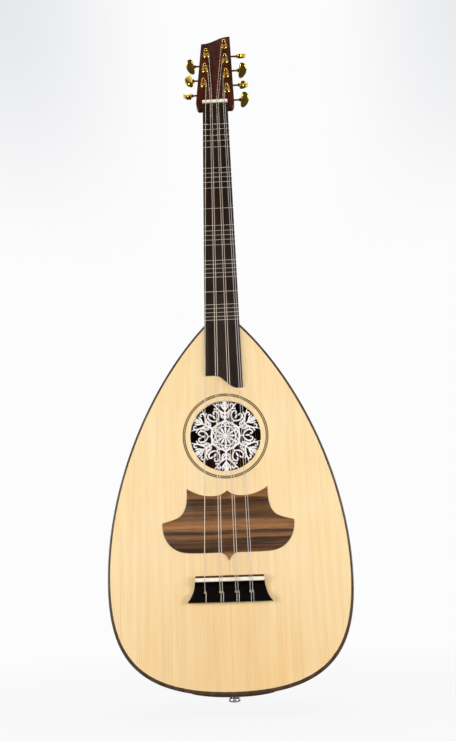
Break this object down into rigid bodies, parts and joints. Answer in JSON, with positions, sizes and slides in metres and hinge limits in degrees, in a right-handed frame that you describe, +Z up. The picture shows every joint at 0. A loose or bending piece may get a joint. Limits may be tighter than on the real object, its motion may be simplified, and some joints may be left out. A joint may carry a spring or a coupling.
{
  "type": "lavta",
  "caption": "Plucked lute with a ribbed round-backed bowl, flat soundboard with a pierced rosette, long fretted neck and a flat headstock with geared tuners.",
  "frame": {"origin": "middle of the outer face of the end pin (strap button) at the tail", "axes": "+Z up along the neck to the headstock, -Y the front that the strings are on, +X to the right as the front is faced; the soundboard's plane is square to Y"},
  "size_m": [0.319, 0.1717, 0.9802],
  "materials": {
    "spruce": "satin",
    "bowl_wood": "glossy lacquer",
    "dark_binding": "satin",
    "block_wood": "raw",
    "brace_wood": "raw",
    "rosette_white": "satin",
    "rope_purfling": "satin",
    "striped_veneer": "satin",
    "black_wood": "polished",
    "bone": "satin",
    "neck_wood": "satin",
    "fingerboard_wood": "satin",
    "head_wood": "glossy lacquer",
    "gold": "polished gold plate",
    "chrome": "polished",
    "wound_string": "wound",
    "plain_string": "plain"
  },
  "bodies": {
    "instrument": {"soundboard": "spruce", "edge_binding": "dark_binding", "rosette": "rosette_white", "rosette_ring": "rope_purfling", "pickguard": "striped_veneer", "bridge": "black_wood", "saddle": "bone", "neck": "neck_wood", "fingerboard": "fingerboard_wood", "nut": "bone", "headstock": "head_wood", "neck_block": "block_wood", "tail_block": "block_wood", "end_clasp": "dark_binding", "end_pin": "chrome", "brace_upper": "brace_wood", "brace_middle": "brace_wood", "brace_lower": "brace_wood", "brace_belly": "brace_wood", "bowl_rib_01": "bowl_wood", "bowl_rib_02": "bowl_wood", "bowl_rib_03": "bowl_wood", "bowl_rib_04": "bowl_wood", "bowl_rib_05": "bowl_wood", "bowl_rib_06": "bowl_wood", "bowl_rib_07": "bowl_wood", "bowl_rib_08": "bowl_wood", "bowl_rib_09": "bowl_wood", "bowl_rib_10": "bowl_wood", "bowl_rib_11": "bowl_wood", "bowl_rib_12": "bowl_wood", "bowl_rib_13": "bowl_wood", "tuner_housing_left_1": "gold", "tuner_housing_left_2": "gold", "tuner_housing_left_3": "gold", "tuner_housing_right_1": "gold", "tuner_housing_right_2": "gold", "tuner_housing_right_3": "gold", "tuner_housing_right_4": "gold", "string_1": "wound_string", "string_2": "wound_string", "string_3": "wound_string", "string_4": "wound_string", "string_5": "wound_string", "string_6": "plain_string", "string_7": "plain_string"},
    "key_left_1": {"tuner_key_left_1": "gold"},
    "post_left_1": {"string_post_left_1": "gold"},
    "key_left_2": {"tuner_key_left_2": "gold"},
    "post_left_2": {"string_post_left_2": "gold"},
    "key_left_3": {"tuner_key_left_3": "gold"},
    "post_left_3": {"string_post_left_3": "gold"},
    "key_right_1": {"tuner_key_right_1": "gold"},
    "post_right_1": {"string_post_right_1": "gold"},
    "key_right_2": {"tuner_key_right_2": "gold"},
    "post_right_2": {"string_post_right_2": "gold"},
    "key_right_3": {"tuner_key_right_3": "gold"},
    "post_right_3": {"string_post_right_3": "gold"},
    "key_right_4": {"tuner_key_right_4": "gold"},
    "post_right_4": {"string_post_right_4": "gold"}
  },
  "joints": [
    {"name": "key_left_1_turn", "type": "hinge", "parent": "instrument", "child": "key_left_1", "pos_m": [-0.01668, -0.01017, 0.8778], "axis": [1, 0, 0], "continuous": true},
    {"name": "post_left_1_turn", "type": "hinge", "parent": "instrument", "child": "post_left_1", "pos_m": [-0.01668, -0.02523, 0.8853], "axis": [0, -0.989, 0.1478], "continuous": true},
    {"name": "key_left_2_turn", "type": "hinge", "parent": "instrument", "child": "key_left_2", "pos_m": [-0.0144, -0.00584, 0.90677], "axis": [1, 0, 0], "continuous": true},
    {"name": "post_left_2_turn", "type": "hinge", "parent": "instrument", "child": "post_left_2", "pos_m": [-0.0144, -0.0209, 0.91428], "axis": [0, -0.989, 0.1478], "continuous": true},
    {"name": "key_left_3_turn", "type": "hinge", "parent": "instrument", "child": "key_left_3", "pos_m": [-0.01211, -0.00151, 0.93575], "axis": [1, 0, 0], "continuous": true},
    {"name": "post_left_3_turn", "type": "hinge", "parent": "instrument", "child": "post_left_3", "pos_m": [-0.01211, -0.01656, 0.94326], "axis": [0, -0.989, 0.1478], "continuous": true},
    {"name": "key_right_1_turn", "type": "hinge", "parent": "instrument", "child": "key_right_1", "pos_m": [0.01861, -0.01202, 0.86543], "axis": [1, 0, 0], "continuous": true},
    {"name": "post_right_1_turn", "type": "hinge", "parent": "instrument", "child": "post_right_1", "pos_m": [0.01861, -0.02707, 0.87294], "axis": [0, -0.989, 0.1478], "continuous": true},
    {"name": "key_right_2_turn", "type": "hinge", "parent": "instrument", "child": "key_right_2", "pos_m": [0.01775, -0.00769, 0.89441], "axis": [1, 0, 0], "continuous": true},
    {"name": "post_right_2_turn", "type": "hinge", "parent": "instrument", "child": "post_right_2", "pos_m": [0.01775, -0.02274, 0.90192], "axis": [0, -0.989, 0.1478], "continuous": true},
    {"name": "key_right_3_turn", "type": "hinge", "parent": "instrument", "child": "key_right_3", "pos_m": [0.01688, -0.00336, 0.92339], "axis": [1, 0, 0], "continuous": true},
    {"name": "post_right_3_turn", "type": "hinge", "parent": "instrument", "child": "post_right_3", "pos_m": [0.01688, -0.01841, 0.9309], "axis": [0, -0.989, 0.1478], "continuous": true},
    {"name": "key_right_4_turn", "type": "hinge", "parent": "instrument", "child": "key_right_4", "pos_m": [0.01601, 0.00097, 0.95237], "axis": [1, 0, 0], "continuous": true},
    {"name": "post_right_4_turn", "type": "hinge", "parent": "instrument", "child": "post_right_4", "pos_m": [0.01601, -0.01408, 0.95988], "axis": [0, -0.989, 0.1478], "continuous": true}
  ],
  "couplings": [
    {"joint": "post_left_1_turn", "follows": "key_left_1_turn", "ratio": -0.071429},
    {"joint": "post_left_2_turn", "follows": "key_left_2_turn", "ratio": -0.071429},
    {"joint": "post_left_3_turn", "follows": "key_left_3_turn", "ratio": -0.071429},
    {"joint": "post_right_1_turn", "follows": "key_right_1_turn", "ratio": -0.071429},
    {"joint": "post_right_2_turn", "follows": "key_right_2_turn", "ratio": -0.071429},
    {"joint": "post_right_3_turn", "follows": "key_right_3_turn", "ratio": -0.071429},
    {"joint": "post_right_4_turn", "follows": "key_right_4_turn", "ratio": -0.071429}
  ]
}
